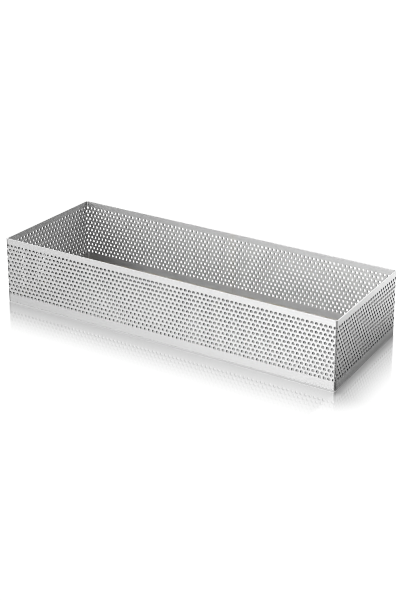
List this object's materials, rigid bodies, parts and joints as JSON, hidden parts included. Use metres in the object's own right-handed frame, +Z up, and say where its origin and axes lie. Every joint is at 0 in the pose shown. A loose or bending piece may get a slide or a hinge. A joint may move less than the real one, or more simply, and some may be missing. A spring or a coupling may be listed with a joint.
{
  "type": "baguette tray",
  "caption": "Open rectangular tray with perforated upright walls and a plain floor, for holding and showing baguettes.",
  "frame": {"origin": "middle of the underside of the floor plate", "axes": "+X along the long walls, +Y from the front wall to the back wall, +Z up out of the open top"},
  "size_m": [0.4062, 0.1388, 0.075],
  "materials": {
    "perforated_sheet": "satin-brushed perforated stainless steel",
    "floor_sheet": "satin-brushed plain stainless steel",
    "weld_metal": "ground stainless weld"
  },
  "bodies": {
    "root": {"wall_band": "perforated_sheet", "floor_plate": "floor_sheet", "seam_weld": "weld_metal", "floor_weld": "weld_metal"}
  },
  "joints": []
}
